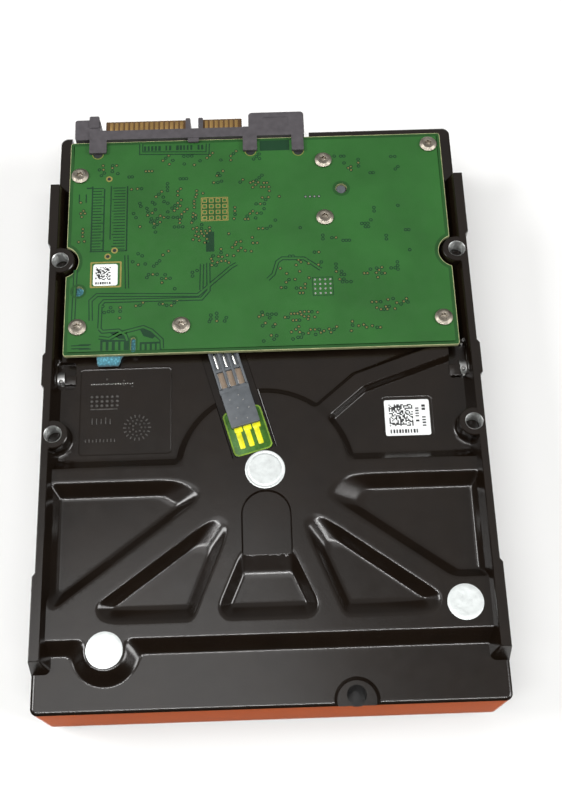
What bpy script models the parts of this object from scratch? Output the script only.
"""Hard disk drive of the 3.5 inch class, lying cover down with its circuit board up.

Lengths below are millimetres and angles degrees; MM turns them into Blender's metres. +Z points out
of the circuit board side, +Y towards the connector, and the origin is under the middle of the drive,
on the plane that its cover rests on.
"""
import math

import bmesh
import bpy
from mathutils import Vector

MM = 0.001

# Outside of the drive
WIDTH = 101.6
LENGTH = 147.0
HEIGHT = 26.1
FRONT = -LENGTH / 2
REAR = LENGTH / 2
CASTING_REAR = 69.6
PAD_X = WIDTH / 2
RAIL_X = 50.2
RAIL_INNER_X = 48.4
REAR_X = 49.4
RAIL_FRONT = -62.9
RAIL_REAR = 53.5

# Levels of the casting, from the cover side up
RIM = 2.5
CEILING = 20.2
POCKET = 21.7
BAY = 22.0
DECK = 24.2

# Holes for the drive's own mounting screws
MOUNT_X = 47.625
MOUNT_YS = (32.22, -12.23)
SIDE_YS = (45.0, 3.4, -56.6)
SIDE_Z = HEIGHT - 6.35
MOUNT_R = 1.75
BOSS_R = 3.5

# Inside of the casting
SPINDLE = (0.0, -21.6)
CAVITY_R = 48.2
CAVITY_X = 44.5
CAVITY_REAR = 63.5

# Circuit board
BOARD_X = 46.3
BOARD_FRONT = 7.4
BOARD_REAR = 66.0
BOARD_LOW = 24.0
BOARD_TOP = 25.0
BOARD_SCREWS = ((-43.7, 56.2), (43.2, 62.6), (16.7, 58.8), (16.4, 42.4),
                (-43.1, 14.6), (-18.7, 14.4), (43.1, 14.4))
COVER_SCREWS = ((-45.5, -66.5), (45.5, -66.5), (-47.6, 0.5), (47.6, 0.5), (-45.5, 66.3), (45.5, 66.3))

# Foil seals on the deck
LEFT_PORT = (-35.1, -60.7)
RIGHT_PORT = (42.2, -52.9)
PORT_R = 2.6
FOIL_R = 3.95
FOIL = 0.15

# Motor flex: it runs from under the board to the motor
FLEX_START = Vector((-9.3, 8.4))
FLEX_AIM = Vector((0.268, -0.963)).normalized()
FLEX_SIDE = Vector((-FLEX_AIM.y, FLEX_AIM.x))

# Disk stack
DISK_R = 47.5
DISK_BORE_R = 12.6
DISK_THICK = 1.27
DISK_ZS = (6.0, 10.6)
HUB_R = 12.45
SHAFT_R = 2.5
SLEEVE_R = 3.9
TEETH = 9

# Actuator: its local X runs along the parked arms
PIVOT = (-19.5, 33.0)
PARKED = -16.47
HEAD_REACH = 50.5
ARM_ZS = (4.335, 8.935, 13.535)
ARM_THICK = 1.2
COIL_MID = 150.0 - PARKED
COIL_HALF = 17.5
PRONG_TURN = 24.0
COIL_LOW = 7.6
COIL_HIGH = 10.3

# Latch: its local X runs along the open lever
LATCH = (-41.4, 54.9)
LATCH_OPEN = 16.0

GAP = 0.1
CLEAR = 0.05
FINE = 32
COARSE = 16


def clear_scene():
    for item in list(bpy.data.objects):
        bpy.data.objects.remove(item)


def new_collection(name):
    group = bpy.data.collections.new(name)
    bpy.context.scene.collection.children.link(group)
    return group


clear_scene()
PARTS = new_collection("hard_disk_drive")
CUTTERS = new_collection("cutters")


def finish(name, colour, roughness, metallic=0.0):
    made = bpy.data.materials.new(name)
    made.use_nodes = True
    shader = made.node_tree.nodes["Principled BSDF"]
    shader.inputs["Base Color"].default_value = (*colour, 1.0)
    shader.inputs["Roughness"].default_value = roughness
    shader.inputs["Metallic"].default_value = metallic
    made.diffuse_color = (*colour, 1.0)
    return made


COATED = finish("black_coated_casting", (0.035, 0.030, 0.028), 0.35)
COVER = finish("bare_cover", (0.62, 0.63, 0.64), 0.35, 1.0)
RUBBER = finish("gasket_rubber", (0.03, 0.03, 0.03), 0.8)
SOLDER_MASK = finish("solder_mask", (0.06, 0.19, 0.05), 0.45)
GREY_PLASTIC = finish("grey_plastic", (0.09, 0.08, 0.09), 0.5)
DARK_PLASTIC = finish("chip_plastic", (0.02, 0.02, 0.02), 0.5)
SCREW_STEEL = finish("screw_steel", (0.45, 0.40, 0.34), 0.35, 1.0)
FOIL_SKIN = finish("foil", (0.82, 0.86, 0.85), 0.35, 0.6)
FOAM = finish("blue_foam", (0.12, 0.38, 0.50), 0.9)
FILM = finish("green_film", (0.06, 0.16, 0.03), 0.4)
STEEL = finish("steel", (0.50, 0.50, 0.52), 0.3, 1.0)
MIRROR = finish("disk_coating", (0.75, 0.75, 0.76), 0.05, 1.0)
ALUMINIUM = finish("aluminium", (0.72, 0.72, 0.73), 0.4, 1.0)
COPPER = finish("copper_wire", (0.72, 0.35, 0.18), 0.35, 1.0)
MAGNET = finish("magnet", (0.55, 0.55, 0.56), 0.3, 1.0)
RAMP_PLASTIC = finish("ramp_plastic", (0.75, 0.73, 0.66), 0.5)
FILTER_CLOTH = finish("filter_cloth", (0.85, 0.85, 0.82), 0.9)
FLEX_AMBER = finish("flex_amber", (0.45, 0.20, 0.04), 0.35)


def circle(centre, radius, steps=FINE):
    """Points round a circle, anticlockwise."""
    return arc(centre, radius, 0.0, 360.0 - 360.0 / steps, steps - 1)


def arc(centre, radius, start, end, steps):
    """Points along an arc, both ends included."""
    turns = [math.radians(start + (end - start) * i / steps) for i in range(steps + 1)]
    return [(centre[0] + radius * math.cos(a), centre[1] + radius * math.sin(a)) for a in turns]


def rounded(corners, radius, steps=4):
    """A closed outline through the corners, each corner turned with the same radius."""
    points = []
    for i, corner in enumerate(corners):
        here = Vector(corner)
        back = (Vector(corners[i - 1]) - here).normalized()
        ahead = (Vector(corners[(i + 1) % len(corners)]) - here).normalized()
        half = math.acos(max(-1.0, min(1.0, back.dot(ahead)))) / 2
        middle = here + (back + ahead).normalized() * radius / math.sin(half)
        first = here + back * radius / math.tan(half) - middle
        last = here + ahead * radius / math.tan(half) - middle
        sweep = first.angle_signed(last)
        for step in range(steps + 1):
            turn = -sweep * step / steps
            x = first.x * math.cos(turn) - first.y * math.sin(turn)
            y = first.x * math.sin(turn) + first.y * math.cos(turn)
            points.append((middle.x + x, middle.y + y))
    return points


def box_outline(left, right, low, high, radius=0.5, steps=3):
    return rounded([(left, low), (right, low), (right, high), (left, high)], radius, steps)


def mirrored(corners):
    """The same outline on the other side of the drive."""
    return [(-x, y) for x, y in reversed(corners)]


def sector(inner, outer, start, end, steps=12):
    """A ring sector about the local origin."""
    return arc((0, 0), outer, start, end, steps) + arc((0, 0), inner, end, start, steps)


def strip(points, width):
    """The outline of a band of even width along an open line of points."""
    line = [Vector(p) for p in points]
    left, right = [], []
    for i, here in enumerate(line):
        back = (here - line[i - 1]).normalized() if i else None
        ahead = (line[i + 1] - here).normalized() if i + 1 < len(line) else None
        aim = ((back or ahead) + (ahead or back)).normalized()
        side = Vector((-aim.y, aim.x))
        reach = width / 2 / max(0.5, side.dot(Vector((-(ahead or back).y, (ahead or back).x))))
        left.append(tuple(here + side * reach))
        right.append(tuple(here - side * reach))
    return right + left[::-1]


def flex_strip(start, end, width):
    """A straight band on the line of the motor flex, by distance from its start."""
    return strip([FLEX_START + FLEX_AIM * start, FLEX_START + FLEX_AIM * end], width)


def add_object(name, mesh, look, axis=None):
    """A part when it has a finish, or else a cutter that stays out of the model."""
    piece = bpy.data.objects.new(name, mesh)
    (PARTS if look else CUTTERS).objects.link(piece)
    if look:
        mesh.materials.clear()
        mesh.materials.append(look)
    else:
        piece.hide_render = True
        piece.display_type = "WIRE"
    piece.parent = axis
    return piece


def evaluated_mesh(piece):
    bpy.context.view_layer.update()
    graph = bpy.context.evaluated_depsgraph_get()
    return bpy.data.meshes.new_from_object(piece.evaluated_get(graph))


def plate(name, outlines, low, high, look=None, axis=None):
    """A flat solid from low to high: its first outline is the edge and the rest are holes."""
    curve = bpy.data.curves.new(name, "CURVE")
    curve.dimensions = "2D"
    curve.fill_mode = "BOTH"
    curve.extrude = (high - low) / 2 * MM
    for outline in outlines:
        spline = curve.splines.new("POLY")
        spline.points.add(len(outline) - 1)
        for point, (x, y) in zip(spline.points, outline):
            point.co = (x * MM, y * MM, 0.0, 1.0)
        spline.use_cyclic_u = True
    flat = bpy.data.objects.new(name, curve)
    CUTTERS.objects.link(flat)
    mesh = evaluated_mesh(flat)
    bpy.data.objects.remove(flat)
    bpy.data.curves.remove(curve)
    work = bmesh.new()
    work.from_mesh(mesh)
    bmesh.ops.remove_doubles(work, verts=work.verts, dist=1e-6)
    bmesh.ops.translate(work, verts=work.verts, vec=(0, 0, (low + high) / 2 * MM))
    bmesh.ops.recalc_face_normals(work, faces=work.faces)
    work.to_mesh(mesh)
    work.free()
    return add_object(name, mesh, look, axis)


def box(name, left, right, low_y, high_y, low, high, look=None, axis=None):
    """A square-cornered block."""
    work = bmesh.new()
    bmesh.ops.create_cube(work, size=1.0)
    bmesh.ops.scale(work, verts=work.verts,
                    vec=((right - left) * MM, (high_y - low_y) * MM, (high - low) * MM))
    middle = Vector(((left + right) / 2, (low_y + high_y) / 2, (low + high) / 2)) * MM
    bmesh.ops.translate(work, verts=work.verts, vec=middle)
    mesh = bpy.data.meshes.new(name)
    work.to_mesh(mesh)
    work.free()
    return add_object(name, mesh, look, axis)


def loft(name, rings, look=None, axis=None):
    """A solid through flat rings with equal point counts, each given with its level, lowest first."""
    work = bmesh.new()
    rows = [[work.verts.new((x * MM, y * MM, level * MM)) for x, y in ring] for ring, level in rings]
    work.faces.new(rows[0][::-1])
    work.faces.new(rows[-1])
    for below, above in zip(rows, rows[1:]):
        for i in range(len(below)):
            j = (i + 1) % len(below)
            work.faces.new((below[i], below[j], above[j], above[i]))
    bmesh.ops.recalc_face_normals(work, faces=work.faces)
    mesh = bpy.data.meshes.new(name)
    work.to_mesh(mesh)
    work.free()
    return add_object(name, mesh, look, axis)


def turned(name, profile, look=None, axis=None, centre=(0.0, 0.0), steps=FINE, ring=False):
    """A profile of (radius, level) turned about Z: down its outer side, and closed when it is a ring."""
    mesh = bpy.data.meshes.new(name)
    edges = [(i, i + 1) for i in range(len(profile) - 1)]
    if ring:
        edges.append((len(profile) - 1, 0))
    mesh.from_pydata([(r * MM, 0.0, z * MM) for r, z in profile], edges, [])
    piece = add_object(name, mesh, look, axis)
    piece.location = (centre[0] * MM, centre[1] * MM, 0.0)
    screw = piece.modifiers.new("turn", "SCREW")
    screw.steps = steps
    screw.render_steps = steps
    screw.use_merge_vertices = True
    screw.merge_threshold = 1e-6
    screw.use_smooth_shade = True
    return piece


def disc(name, centre, radius, low, high, look=None, axis=None, steps=FINE):
    return plate(name, [circle(centre, radius, steps)], low, high, look, axis)


def tube(name, centre, inner, outer, low, high, look=None, axis=None, steps=FINE):
    return plate(name, [circle(centre, outer, steps), circle(centre, inner, steps)], low, high, look, axis)


def boolean(target, operation, tools):
    for tool in tools:
        step = target.modifiers.new(tool.name, "BOOLEAN")
        step.operation = operation
        step.solver = "EXACT"
        step.object = tool
    return target


def cut(target, *tools):
    return boolean(target, "DIFFERENCE", tools)


def join(target, *tools):
    return boolean(target, "UNION", tools)


def joint_axis(name, centre, angle=0.0):
    """An empty on a joint's axis, which the moving pieces hang from."""
    empty = bpy.data.objects.new(name, None)
    CUTTERS.objects.link(empty)
    empty.location = (centre[0] * MM, centre[1] * MM, 0.0)
    empty.rotation_euler.z = math.radians(angle)
    return empty


# Base casting

def cavity_outline(grow=0.0):
    """Inside wall of the casting: round about the disks, square towards the connector."""
    radius = CAVITY_R + grow
    side = CAVITY_X + grow
    rear = CAVITY_REAR + grow
    corner = 5.0 + grow
    lean = math.degrees(math.acos(side / radius))
    front = arc(SPINDLE, radius, 180.0 - lean, 360.0 + lean, 40)
    right = arc((side - corner, rear - corner), corner, 0.0, 90.0, 6)
    left = arc((corner - side, rear - corner), corner, 90.0, 180.0, 6)
    return front + right + left


def body_outline(shrink=0.0):
    """Plan of the casting with its raised pads round the side screw holes."""
    pad, rail, rear = PAD_X - shrink, RAIL_X - shrink, REAR_X - shrink
    front, back = FRONT + shrink, CASTING_REAR - shrink
    right = arc((pad - 1.6, front + 1.6), 1.6, -90.0, 0.0, 4)
    right += [(pad, -44.8), (rail, -44.2), (rail, -0.6), (pad, 0.0), (pad, 7.3), (rail, 7.9)]
    right += [(rail, 36.4), (pad, 37.0), (pad, RAIL_REAR), (rear, RAIL_REAR + 0.8)]
    right += arc((rear - 4.0, back - 4.0), 4.0, 0.0, 90.0, 6)
    return right + mirrored(right)


POCKETS = [
    # outline at the deck, then the floor
    ([(-48.3, -23.4), (-48.3, -52.6), (-14.3, -27.1), (-17.0, -23.4)],
     [(-45.9, -26.3), (-45.9, -47.8), (-20.4, -30.0), (-22.0, -26.3)]),
    ([(-43.8, -54.6), (-16.2, -54.6), (-8.6, -34.6), (-11.4, -32.4)],
     [(-34.0, -51.6), (-18.1, -51.6), (-13.3, -40.0), (-15.6, -38.2)]),
    ([(-12.4, -54.5), (12.4, -54.5), (5.5, -40.0), (-5.5, -40.0)],
     [(-8.4, -51.4), (8.4, -51.4), (4.8, -44.1), (-4.8, -44.1)]),
    ([(43.8, -54.6), (11.4, -32.4), (8.6, -34.6), (16.2, -54.6)],
     [(34.0, -51.6), (15.6, -38.2), (13.3, -40.0), (18.1, -51.6)]),
    ([(48.3, -23.3), (17.0, -23.3), (13.6, -28.8), (40.2, -47.5), (48.3, -47.5)],
     [(46.0, -26.3), (22.6, -26.3), (21.4, -29.4), (41.1, -45.2), (46.0, -45.2)]),
]


def pocket_cutters():
    """Five sunk pockets with sloping walls, between the spider's ribs."""
    cutters = []
    for number, (edge, floor) in enumerate(POCKETS, 1):
        tight = 1.6 if number in (2, 4) else 2.6
        edge = rounded(edge, tight, 3)
        floor = rounded(floor, 0.5, 3)
        cutters.append(loft(f"pocket_{number}", [(floor, POCKET), (edge, DECK + CLEAR),
                                                 (edge, HEIGHT + 1.0)]))
    return cutters


def front_step(grow):
    """Edge of the front ledge: level with the deck at zero, down at the ledge when grown."""
    back, end, side = -58.3 - grow, RAIL_FRONT - grow * 0.9, 49.2 - grow
    radius = 4.3 + grow
    lift = math.degrees(math.asin((back - LEFT_PORT[1]) / radius))
    boss = arc(LEFT_PORT, radius, 180.0 - lift, 360.0 + lift, 12)
    left = [(-side, end), (-side, back - 0.8), (-side + 0.8, back)]
    outside = [(60.0, end), (60.0, -80.0), (-60.0, -80.0), (-60.0, end)]
    return left + boss + mirrored(left) + outside


def bay_ring(side, front):
    return [(-side, front), (side, front), (side, 80.0), (-side, 80.0)]


def mounting_boss(name, side, y):
    """A boss round a mounting hole, flush with the rail's outer face."""
    reach = math.degrees(math.acos((RAIL_X - CLEAR - MOUNT_X) / BOSS_R))
    points = arc((MOUNT_X, y), BOSS_R, reach, 360.0 - reach, 14)
    if side < 0:
        points = mirrored(points)
    return plate(name, [points], POCKET - 1.0, HEIGHT - CLEAR)


def sloped_rib():
    """Raised rib from the motor disc to the right, under the board."""
    line = [(9.0, -12.0), (15.2, -6.4), (22.4, -0.3), (40.0, 7.6)]
    return loft("sloped_rib", [(strip(line, 5.4), BAY - 0.5), (strip(line, 3.4), DECK - 0.6)])


def base_casting():
    body = plate("base_casting", [body_outline()], RIM, HEIGHT, COATED)
    cut(body,
        plate("between_rails", [rounded([(-RAIL_INNER_X, -70.0), (RAIL_INNER_X, -70.0),
                                         (RAIL_INNER_X, 80.0), (-RAIL_INNER_X, 80.0)], 0.5)],
              DECK, HEIGHT + 1.0),
        loft("board_bay", [(bay_ring(47.0, -17.6), BAY),
                           (bay_ring(RAIL_INNER_X + CLEAR, -19.9), DECK + CLEAR),
                           (bay_ring(RAIL_INNER_X + CLEAR, -19.9), HEIGHT + 1.0)]),
        box("behind_rails", -60.0, 60.0, RAIL_REAR - 0.45, 80.0, POCKET, HEIGHT + 1.0),
        loft("front_ledge", [(front_step(2.8), POCKET), (front_step(0.0), DECK + CLEAR),
                             (front_step(0.0), HEIGHT + 1.0)]))
    join(body,
         loft("motor_disc", [(circle(SPINDLE, 20.4), CEILING + 0.4), (circle(SPINDLE, 20.4), BAY - 0.4),
                             (circle(SPINDLE, 18.6), DECK - CLEAR)]),
         sloped_rib())
    for side in (-1, 1):
        for y in MOUNT_YS:
            join(body, mounting_boss(f"mounting_boss_{side}_{y:.0f}", side, y))
    for number, spot in enumerate(BOARD_SCREWS, 1):
        join(body, disc(f"board_boss_{number}", spot, 3.0, BAY - 1.0, BOARD_LOW - GAP, steps=COARSE))
    cut(body, *pocket_cutters())
    cut(body, *deck_recesses())
    cut(body, plate("cavity", [cavity_outline()], RIM - 1.0, CEILING))
    join(body, *inner_bosses())
    cut(body, *casting_holes())
    return body


def deck_recesses():
    """Arch over the middle pocket, flex channel, panels, clip recesses and the connector's notch."""
    arch = arc((0.0, -31.9), 5.9, 0.0, 180.0, 12) + [(-5.9, -42.0), (5.9, -42.0)]
    return [
        plate("arch", [arch], DECK - 0.5, HEIGHT),
        plate("flex_channel", [flex_strip(-3.0, 26.6, 10.2)], BAY - 0.15, HEIGHT),
        plate("left_panel", [box_outline(-42.2, -21.2, -16.0, 5.2)], BAY - 0.3, BAY + 1.0),
        plate("label_panel", [box_outline(27.4, 38.9, -14.2, -4.0)], BAY - 0.2, BAY + 1.0),
        plate("left_clip", [box_outline(-47.9, -43.6, 0.2, 7.1)], BAY - 1.1, BAY + 3.0),
        plate("right_clip", [box_outline(43.9, 47.9, 0.2, 8.6)], BAY - 1.1, BAY + 3.0),
        box("connector_notch", -46.6, 13.6, 65.0, 80.0, 18.2, HEIGHT),
        disc("notch_rim", (18.0, -72.4), 4.5, POCKET - 0.5, HEIGHT, steps=COARSE),
        disc("notch_hole", (18.0, -72.4), 2.5, POCKET - 6.0, HEIGHT, steps=COARSE),
    ]


def inner_bosses():
    """Motor boss with its shoulder, and the latch's cast pin."""
    neck, shoulder = circle(SPINDLE, 5.2), circle(SPINDLE, 6.0)
    bearing = loft("motor_boss", [(neck, 10.4), (neck, 17.2), (shoulder, 17.2), (shoulder, CEILING + 0.5)])
    pin = disc("latch_pin", LATCH, 1.2, 6.5, CEILING + 0.5, steps=COARSE)
    return [bearing, pin]


def casting_holes():
    """Motor bore, ports, screw holes and the flex connector's window."""
    holes = [
        disc("motor_bore", SPINDLE, SLEEVE_R + GAP, 5.0, HEIGHT),
        disc("left_port", LEFT_PORT, PORT_R, 9.0, HEIGHT, steps=COARSE),
        disc("filter_seat", LEFT_PORT, 3.4, RIM - 1.0, 12.0, steps=COARSE),
        disc("right_port", RIGHT_PORT, PORT_R, 14.0, HEIGHT, steps=COARSE),
        plate("flex_window", [box_outline(12.6, 20.4, 46.4, 54.6)], CEILING - 1.0, BAY + 1.0),
    ]
    for number, spot in enumerate(BOARD_SCREWS, 1):
        holes.append(disc(f"board_hole_{number}", spot, 1.2, CEILING + 0.7, HEIGHT, steps=12))
    for number, spot in enumerate(COVER_SCREWS, 1):
        holes.append(disc(f"cover_hole_{number}", spot, 1.35, RIM - 1.0, 8.0, steps=12))
    for side in (-1, 1):
        for y in MOUNT_YS:
            name = f"mounting_hole_{side}_{y:.0f}"
            holes.append(disc(name, (side * MOUNT_X, y), MOUNT_R, HEIGHT - 4.8, HEIGHT + 1.0,
                              steps=COARSE))
        for y in SIDE_YS:
            hole = disc(f"side_hole_{side}_{y:.0f}", (0.0, 0.0), MOUNT_R, -3.6, 3.6, steps=COARSE)
            hole.rotation_euler.y = math.radians(90.0)
            hole.location = (side * PAD_X * MM, y * MM, SIDE_Z * MM)
            holes.append(hole)
    return holes


# Cover side

def cover():
    """Formed lid: a flange under the casting's rim, with its middle pressed outwards."""
    flange = [circle(spot, 1.35, 12) for spot in COVER_SCREWS]
    lid = plate("top_cover", [body_outline(0.3)] + flange, 0.7, 1.8, COVER)
    join(lid, plate("pressed_area", [cavity_outline(-3.0)], 0.0, 1.2))
    cut(lid, plate("pressed_inside", [cavity_outline(-4.2)], 1.0, 3.0))
    plate("cover_gasket", [cavity_outline(1.5), cavity_outline(0.4)], 1.8 + GAP, RIM - GAP, RUBBER)


def screw_mesh(head_r, head, shank_r, shank):
    """A flat-headed screw with its head up, seated at level zero, with a six-sided recess."""
    body = turned("screw_blank", [(0, head), (head_r * 0.86, head), (head_r, head * 0.55), (head_r, 0),
                                  (shank_r, 0), (shank_r, -shank), (0, -shank)], steps=COARSE)
    cut(body, disc("screw_recess", (0.0, 0.0), head_r * 0.45, head * 0.4, head + 1.0, steps=6))
    mesh = evaluated_mesh(body)
    bpy.data.objects.remove(body)
    return mesh


def screws():
    board_screw = screw_mesh(2.1, 0.7, 1.0, 3.9)
    for number, (x, y) in enumerate(BOARD_SCREWS, 1):
        piece = add_object(f"board_screw_{number}", board_screw, SCREW_STEEL)
        piece.location = (x * MM, y * MM, (BOARD_TOP + GAP) * MM)
    cover_screw = screw_mesh(2.2, 0.5, 1.15, 6.5)
    for number, (x, y) in enumerate(COVER_SCREWS, 1):
        piece = add_object(f"cover_screw_{number}", cover_screw, SCREW_STEEL)
        piece.rotation_euler.x = math.pi
        piece.location = (x * MM, y * MM, (0.7 - GAP) * MM)


# Board side

def circuit_board():
    notch_x, low, high = 43.5, MOUNT_YS[0] - 4.2, MOUNT_YS[0] + 4.2
    corners = [(BOARD_X, BOARD_FRONT), (BOARD_X, low), (notch_x, low), (notch_x, high),
               (BOARD_X, high), (BOARD_X, BOARD_REAR)]
    edge = rounded(corners + mirrored(corners), 0.7, 3)
    holes = [circle(spot, 1.3, 16) for spot in BOARD_SCREWS]
    holes += [circle((-43.2, 24.2), 1.3, 16), circle((20.8, 50.6), 1.4, 16)]
    holes.append(box_outline(-30.5, -29.4, 7.9, 11.7, 0.5))
    plate("circuit_board", [edge] + holes, BOARD_LOW, BOARD_TOP, SOLDER_MASK)
    ceiling = BOARD_LOW - 0.05
    plate("controller_chip", [box_outline(-17.5, -3.5, 38.8, 52.8)], 22.8, ceiling, DARK_PLASTIC)
    plate("memory_chip", [box_outline(-28.0, -19.0, 24.0, 35.0)], 22.9, ceiling, DARK_PLASTIC)
    plate("motor_driver_chip", [box_outline(10.6, 19.6, 19.1, 28.1)], 22.9, ceiling, DARK_PLASTIC)
    plate("insulator_pad", [[(-38.4, 5.4), (-33.0, 5.4), (-31.6, 6.9), (-28.4, 7.6), (-28.4, 22.0),
                             (-36.0, 26.4), (-44.6, 26.4), (-44.6, 20.6), (-38.9, 18.6), (-38.9, 8.4)]],
          BAY + GAP, BOARD_LOW - GAP, FOAM)


def sata_connector():
    """Serial ATA plug: power and signal tongues, guide posts, end blocks and legs on the board."""
    top, bottom = 25.8, 18.5
    bar = box("sata_connector", -39.5, 12.2, BOARD_REAR + 0.2, 69.3, bottom, top, GREY_PLASTIC)
    back = 69.0
    join(bar,
         box("power_tongue", -37.9, -17.2, back, 73.2, 22.3, 23.5),
         box("signal_tongue", -13.8, -3.4, back, 73.2, 22.3, 23.5),
         box("power_key", -17.9, -16.9, back, REAR, 20.9, 24.6),
         box("signal_key", -14.3, -13.3, back, REAR, 20.9, 24.6),
         box("left_block", -45.3, -39.2, 67.3, 72.2, bottom + 0.4, 25.4),
         box("left_tab", -41.5, -39.4, 71.0, REAR, bottom + 1.2, 24.8),
         plate("right_block", [rounded([(-1.7, BOARD_REAR + 0.2), (12.3, BOARD_REAR + 0.2), (12.3, 73.2),
                                        (-1.7, 73.2)], 0.8, 3)], bottom + 0.2, top + 0.05),
         box("signal_floor", -14.4, -1.0, back, 70.6, bottom + 0.1, 19.9),
         box("left_leg", -41.6, -37.3, 63.0, 68.0, BOARD_TOP + GAP, top - 0.05),
         box("middle_leg", -16.8, -14.0, 65.3, 67.0, BOARD_TOP + GAP, top - 0.1),
         box("right_leg_1", -3.2, 0.3, 63.1, 67.0, BOARD_TOP + GAP, top - 0.05),
         box("right_leg_2", 9.1, 11.9, 62.7, 67.0, BOARD_TOP + GAP, top - 0.1))


def motor_flex():
    block = plate("motor_connector", [flex_strip(-5.6, 19.2, 6.8)], BAY + 0.5, BAY + 1.6, GREY_PLASTIC)
    for row in (-1, 0, 1):
        centre = FLEX_START + FLEX_SIDE * row * 2.1
        for start, end in ((-4.6, 2.8), (5.4, 9.4)):
            slot = strip([centre + FLEX_AIM * start, centre + FLEX_AIM * end], 1.2)
            cut(block, plate(f"contact_slot_{row}_{start:.0f}", [slot], BAY + 1.1, BAY + 3.0))
    plate("motor_flex", [flex_strip(15.0, 26.2, 9.2)], BAY + GAP, BAY + 0.4, FILM)


def foil_seals():
    disc("spindle_seal", SPINDLE, 4.5, DECK + 0.05, DECK + 0.05 + FOIL, FOIL_SKIN)
    disc("port_seal_left", LEFT_PORT, FOIL_R, DECK + 0.05, DECK + 0.05 + FOIL, FOIL_SKIN)
    disc("port_seal_right", RIGHT_PORT, FOIL_R, DECK + 0.05, DECK + 0.05 + FOIL, FOIL_SKIN)


# Spindle motor and disk stack

def fixed_motor_parts():
    tube("bearing_sleeve", SPINDLE, SHAFT_R + GAP, SLEEVE_R, 9.8, 22.4, STEEL)
    disc("bearing_end_plate", SPINDLE, SLEEVE_R, 22.5, 23.7, STEEL)
    seat = joint_axis("motor_seat", SPINDLE)
    core = tube("stator_core", (0.0, 0.0), 5.3, 6.5, 11.0, 16.5, STEEL, seat)
    windings = tube("stator_windings", (0.0, 0.0), 6.7, 8.6, 17.0, 17.8, COPPER, seat)
    for number in range(TEETH):
        turn = 360.0 / TEETH * number
        tooth = box(f"tooth_{number}", 6.2, 9.3, -0.55, 0.55, 11.0, 16.5, axis=seat)
        shoe = plate(f"tooth_shoe_{number}", [sector(8.95, 9.7, -14.0, 14.0, 4)], 11.0, 16.5, axis=seat)
        coil = box(f"tooth_coil_{number}", 6.8, 8.7, -1.25, 1.25, 10.2, 17.3, axis=seat)
        slot = box(f"coil_slot_{number}", 6.0, 9.3, -0.7, 0.7, 10.85, 16.65, axis=seat)
        for piece in (tooth, shoe, coil, slot):
            piece.rotation_euler.z = math.radians(turn)
        join(core, tooth, shoe)
        join(windings, coil)
        cut(windings, slot)


def disk_stack():
    axis = joint_axis("spindle_axis", SPINDLE)
    turned("spindle_hub", [(SHAFT_R + GAP, 5.3), (SHAFT_R + GAP, 9.5), (3.9, 9.5), (3.9, 7.3), (11.0, 7.3),
                           (11.0, 18.4), (HUB_R, 18.4), (HUB_R, 13.4), (16.0, 13.4), (16.0, 11.97),
                           (HUB_R, 11.97), (HUB_R, 5.3)], ALUMINIUM, axis, ring=True)
    disc("spindle_shaft", (0, 0), SHAFT_R, 7.6, 19.8, STEEL, axis)
    tube("rotor_magnet", (0, 0), 10.05, 10.9, 8.5, 18.2, MAGNET, axis)
    for number, low in enumerate(DISK_ZS, 1):
        tube(f"platter_{number}", (0, 0), DISK_BORE_R, DISK_R, low, low + DISK_THICK, MIRROR, axis, 56)
    tube("spacer_ring", (0, 0), DISK_BORE_R, 15.5, DISK_ZS[0] + DISK_THICK + GAP, DISK_ZS[1] - GAP,
         ALUMINIUM, axis)
    turned("disk_clamp", [(2.6, 4.3), (2.6, 5.2), (12.9, 5.2), (12.9, 5.9), (15.4, 5.9), (15.4, 5.0),
                          (13.0, 4.3)], STEEL, axis, ring=True)
    head = disc("clamp_screw", (0, 0), 2.3, 4.0, 7.3, SCREW_STEEL, axis, COARSE)
    join(head, disc("clamp_screw_head", (0, 0), 4.0, 3.2, 4.2, axis=axis, steps=COARSE))
    cut(head, disc("clamp_screw_recess", (0, 0), 1.6, 2.0, 3.8, axis=axis, steps=6))


# Actuator

def arm_comb(axis):
    comb = tube("arm_comb", (0, 0), 6.0, 8.6, 3.7, 15.0, ALUMINIUM, axis)
    shape = [(6.2, -6.4), (20.0, -4.6), (38.0, -2.6), (38.0, 2.6), (20.0, 4.6), (6.2, 6.4)]
    light = [(16.0, -2.4), (30.0, -1.3), (30.0, 1.3), (16.0, 2.4)]
    for number, middle in enumerate(ARM_ZS, 1):
        low, high = middle - ARM_THICK / 2, middle + ARM_THICK / 2
        join(comb, plate(f"arm_{number}", [rounded(shape, 0.6, 2), rounded(light, 0.8, 2)],
                         low, high, axis=axis))
    for name, turn, reach in (("near", COIL_MID - PRONG_TURN, 25.4), ("far", COIL_MID + PRONG_TURN, 21.0)):
        prong = box(f"{name}_prong", 7.6, reach, -1.0, 1.0, 7.8, 10.1, axis=axis)
        prong.rotation_euler.z = math.radians(turn)
        join(comb, prong)
    return comb


def suspension(number, axis, beam_low, slider_low):
    """A load beam with its slider and lift tab, one body."""
    shape = [(33.0, -2.4), (37.5, -2.4), (49.0, -0.9), (55.4, -0.4), (55.4, 0.4), (49.0, 0.9),
             (37.5, 2.4), (33.0, 2.4)]
    beam = plate(f"suspension_{number}", [rounded(shape, 0.2, 1)], beam_low, beam_low + 0.3, STEEL, axis)
    join(beam, box(f"slider_{number}", HEAD_REACH - 0.6, HEAD_REACH + 0.6, -0.5, 0.5,
                   slider_low, slider_low + 0.67, axis=axis))


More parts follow.
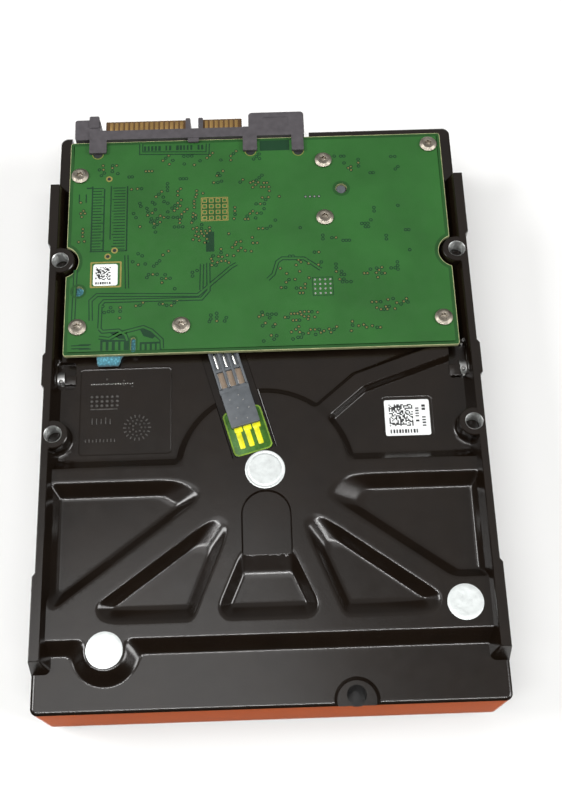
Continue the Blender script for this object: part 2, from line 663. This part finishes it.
def actuator():
    axis = joint_axis("actuator_axis", PIVOT, PARKED)
    arm_comb(axis)
    tube("pivot_bearing", (0, 0), 3.1, 5.9, 4.2, 18.6, STEEL, axis)
    inset = math.degrees(3.0 / 17.0)
    edge = sector(12.2, 22.8, COIL_MID - COIL_HALF, COIL_MID + COIL_HALF)
    hole = sector(15.2, 19.8, COIL_MID - COIL_HALF + inset, COIL_MID + COIL_HALF - inset)
    plate("voice_coil", [edge, hole], COIL_LOW, COIL_HIGH, COPPER, axis)
    beside_arm = [(6.4, 6.5), (13.6, 5.56), (13.72, 6.45), (6.52, 7.39)]
    plate("preamp_board", [beside_arm], 6.0, 13.4, FLEX_AMBER, axis)
    half = ARM_THICK / 2
    facing_up = ((1, ARM_ZS[0]), (3, ARM_ZS[1]))
    facing_down = ((2, ARM_ZS[1]), (4, ARM_ZS[2]))
    for number, arm in facing_up:
        suspension(number, axis, arm + half + 0.07, arm + half + 0.27)
    for number, arm in facing_down:
        suspension(number, axis, arm - half - 0.37, arm - half - 0.94)


def voice_coil_motor():
    """Fixed steel yokes with their magnets, the pivot shaft and the two stops."""
    seat = joint_axis("actuator_seat", PIVOT)
    outline = sector(10.6, 24.5, 76.0, 192.0, 14)
    face = sector(12.0, 23.6, 90.0, 178.0, 12)
    plate("upper_yoke", [outline], 2.6, 4.6, STEEL, seat)
    plate("upper_magnet", [face], 4.7, 6.6, MAGNET, seat)
    plate("lower_magnet", [face], 11.3, 13.1, MAGNET, seat)
    yoke = plate("lower_yoke", [outline], 13.2, 15.6, STEEL, seat)
    for name, turn in (("inner", 79.0), ("outer", 189.0)):
        spot = arc((0, 0), 18.0, turn, turn, 1)[0]
        join(yoke, disc(f"yoke_post_{name}", spot, 1.8, 4.75, 20.1, axis=seat, steps=COARSE))
        tube(f"crash_stop_{name}", spot, 1.9, 2.6, 7.4, 10.6, RUBBER, seat, COARSE)
    shaft = disc("pivot_shaft", PIVOT, 3.0, 3.4, 20.1, STEEL)
    join(shaft, disc("pivot_flange", PIVOT, 4.6, 18.9, 20.1))


def parking_ramp():
    """A post with two fingers that the lift tabs park on."""
    seat = joint_axis("ramp_seat", PIVOT, PARKED)
    post = plate("parking_ramp", [box_outline(57.0, 61.5, -3.0, 3.0, 0.8)], 4.2, 20.1, RAMP_PLASTIC, seat)
    for number, low in enumerate(DISK_ZS, 1):
        middle = low + DISK_THICK / 2
        join(post, box(f"ramp_finger_{number}", 52.6, 57.5, -2.0, 2.0, middle - 1.17, middle + 1.17,
                       axis=seat))


def latch():
    axis = joint_axis("latch_axis", LATCH, LATCH_OPEN)
    lever = tube("actuator_latch", (0, 0), 1.35, 2.5, 7.4, 10.2, RAMP_PLASTIC, axis, COARSE)
    outline = [(1.9, -0.9), (9.6, -0.1), (9.6, -1.3), (11.2, -1.3), (11.2, 1.6), (1.9, 1.1)]
    join(lever, plate("lever_arm", [outline], 7.6, 10.0, axis=axis))


# Small inner parts

def filters_and_flex():
    plate("recirculation_filter", [box_outline(-43.6, -36.0, 13.5, 24.0, 0.8)], 5.0, 20.1, FILTER_CLOTH)
    disc("breather_filter", LEFT_PORT, 3.2, 3.2, 8.8, FILTER_CLOTH, steps=COARSE)
    bracket = plate("flex_bracket", [box_outline(7.0, 27.0, 43.5, 57.5, 1.0)], 17.4, 20.1, RAMP_PLASTIC)
    join(bracket, box("flex_plug", 12.9, 20.1, 46.7, 54.3, 19.5, BOARD_LOW - GAP))
    loop = [(9.5, 50.5), (5.0, 51.6), (0.5, 50.8), (-3.4, 48.6), (-6.4, 45.8), (-8.6, 42.8), (-9.8, 40.2),
            (-9.9, 38.9)]
    plate("flex_cable", [strip(loop, 0.3)], 7.5, 17.2, FLEX_AMBER)


base_casting()
cover()
screws()
circuit_board()
sata_connector()
motor_flex()
foil_seals()
fixed_motor_parts()
disk_stack()
actuator()
voice_coil_motor()
parking_ramp()
latch()
filters_and_flex()
